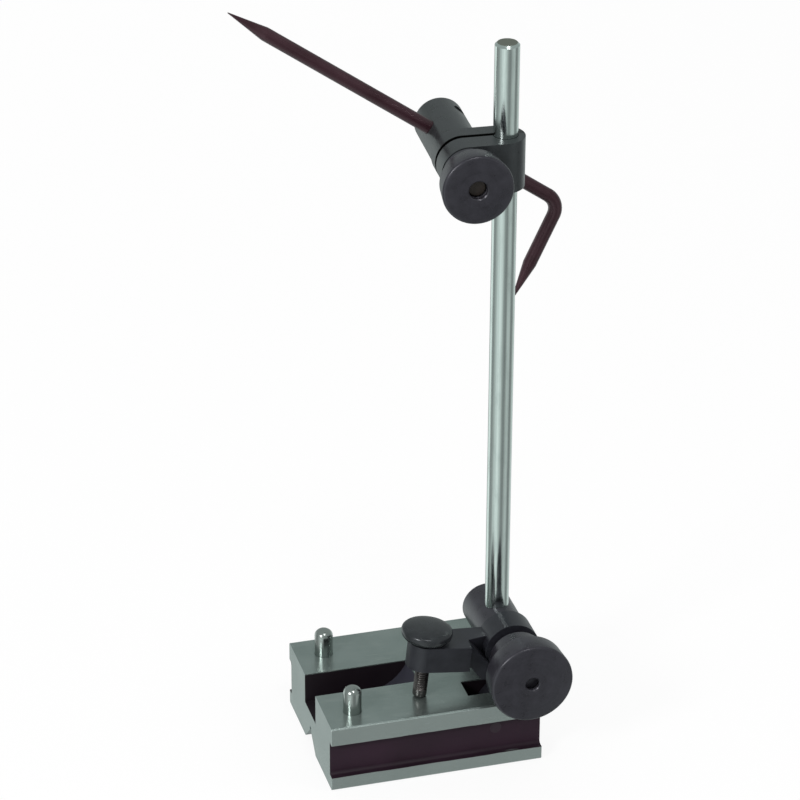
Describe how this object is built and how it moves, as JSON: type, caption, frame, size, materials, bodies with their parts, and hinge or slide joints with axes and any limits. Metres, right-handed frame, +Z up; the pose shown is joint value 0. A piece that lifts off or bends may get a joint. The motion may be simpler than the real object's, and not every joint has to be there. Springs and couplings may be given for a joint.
{
  "type": "surface gauge",
  "caption": "Surface gauge: slotted base with V groove, rocking bracket, swivelling spindle, sliding snug and bent scriber.",
  "frame": {"origin": "middle of the base's underside, on the centre line of the V groove", "axes": "+X along the base towards the spindle's end, +Z up, so the clamp knobs face -Y"},
  "size_m": [0.1088, 0.0766, 0.2581],
  "materials": {
    "ground_steel": "ground, oiled",
    "polished_steel": "fine ground, bright",
    "black_oxide": "blackened, satin",
    "scriber_steel": "hardened, dark brown-black satin",
    "spring_steel": "drawn wire"
  },
  "bodies": {
    "base_block": {"base": "ground_steel", "rocker_pivot_pin": "spring_steel", "rocker_spring": "spring_steel"},
    "near_pin": {"guide_pin_near": "polished_steel", "guide_pin_ring_near": "spring_steel"},
    "far_pin": {"guide_pin_far": "polished_steel", "guide_pin_ring_far": "spring_steel"},
    "rocker": {"rocker_bracket": "black_oxide", "spindle_clamp_washer": "black_oxide"},
    "screw_shank": {"fine_screw": "polished_steel"},
    "screw_head": {"fine_screw_head": "black_oxide"},
    "spindle_clamp": {"spindle_clamp_sleeve": "black_oxide", "spindle_clamp_bolt": "black_oxide"},
    "spindle_knob": {"spindle_clamp_knob": "black_oxide"},
    "spindle_bar": {"spindle": "polished_steel"},
    "snug_body": {"snug": "black_oxide", "scriber_clamp_washer": "black_oxide"},
    "scriber_clamp": {"scriber_clamp_sleeve": "black_oxide", "scriber_clamp_bolt": "black_oxide"},
    "scriber_knob": {"scriber_clamp_knob": "black_oxide"},
    "scriber_bar": {"scriber": "scriber_steel"}
  },
  "joints": [
    {"name": "near_pin_slide", "type": "slide", "parent": "base_block", "child": "near_pin", "axis": [0, 0, 1], "range_m": [-0.0085, 0]},
    {"name": "far_pin_slide", "type": "slide", "parent": "base_block", "child": "far_pin", "axis": [0, 0, 1], "range_m": [-0.0085, 0]},
    {"name": "rocker_tilt", "type": "hinge", "parent": "base_block", "child": "rocker", "pos_m": [0.0209, -0.0158, 0.0135], "axis": [0, 1, 0], "range_deg": [-12, 1], "deforming": ["rocker_spring"]},
    {"name": "fine_screw_travel", "type": "slide", "parent": "rocker", "child": "screw_shank", "axis": [-0.1045, 0, -0.9945], "range_m": [-0.0053, 0.0005]},
    {"name": "fine_screw_turn", "type": "hinge", "parent": "screw_shank", "child": "screw_head", "pos_m": [-0.00111, -0.0158, 0.04135], "axis": [-0.1045, 0, -0.9945], "range_deg": [-2400, 220]},
    {"name": "spindle_swivel", "type": "hinge", "parent": "rocker", "child": "spindle_clamp", "pos_m": [0.02873, 0, 0.03822], "axis": [0, 1, 0], "range_deg": [-95, 130]},
    {"name": "spindle_knob_turn", "type": "hinge", "parent": "spindle_clamp", "child": "spindle_knob", "pos_m": [0.02873, -0.036, 0.03822], "axis": [0, -1, 0], "range_deg": [0, 360]},
    {"name": "spindle_turn", "type": "hinge", "parent": "spindle_clamp", "child": "spindle_bar", "pos_m": [0.02873, 0, 0.03822], "axis": [0, 0, 1], "continuous": true},
    {"name": "snug_slide", "type": "slide", "parent": "spindle_bar", "child": "snug_body", "axis": [0, 0, -1], "range_m": [-0.029, 0.12]},
    {"name": "scriber_tilt", "type": "hinge", "parent": "snug_body", "child": "scriber_clamp", "pos_m": [0.01495, 0.00084, 0.20922], "axis": [0.061, 0.9981, 0], "continuous": true},
    {"name": "scriber_knob_turn", "type": "hinge", "parent": "scriber_clamp", "child": "scriber_knob", "pos_m": [0.01385, -0.01712, 0.20922], "axis": [-0.061, -0.9981, 0], "range_deg": [0, 360]},
    {"name": "scriber_slide", "type": "slide", "parent": "scriber_clamp", "child": "scriber_bar", "axis": [-0.8226, 0.0503, 0.5664], "range_m": [-0.055, 0.03]}
  ],
  "couplings": [
    {"joint": "fine_screw_travel", "follows": "rocker_tilt", "m_per_rad": 0.024891},
    {"joint": "fine_screw_turn", "follows": "rocker_tilt", "ratio": 195.49}
  ]
}
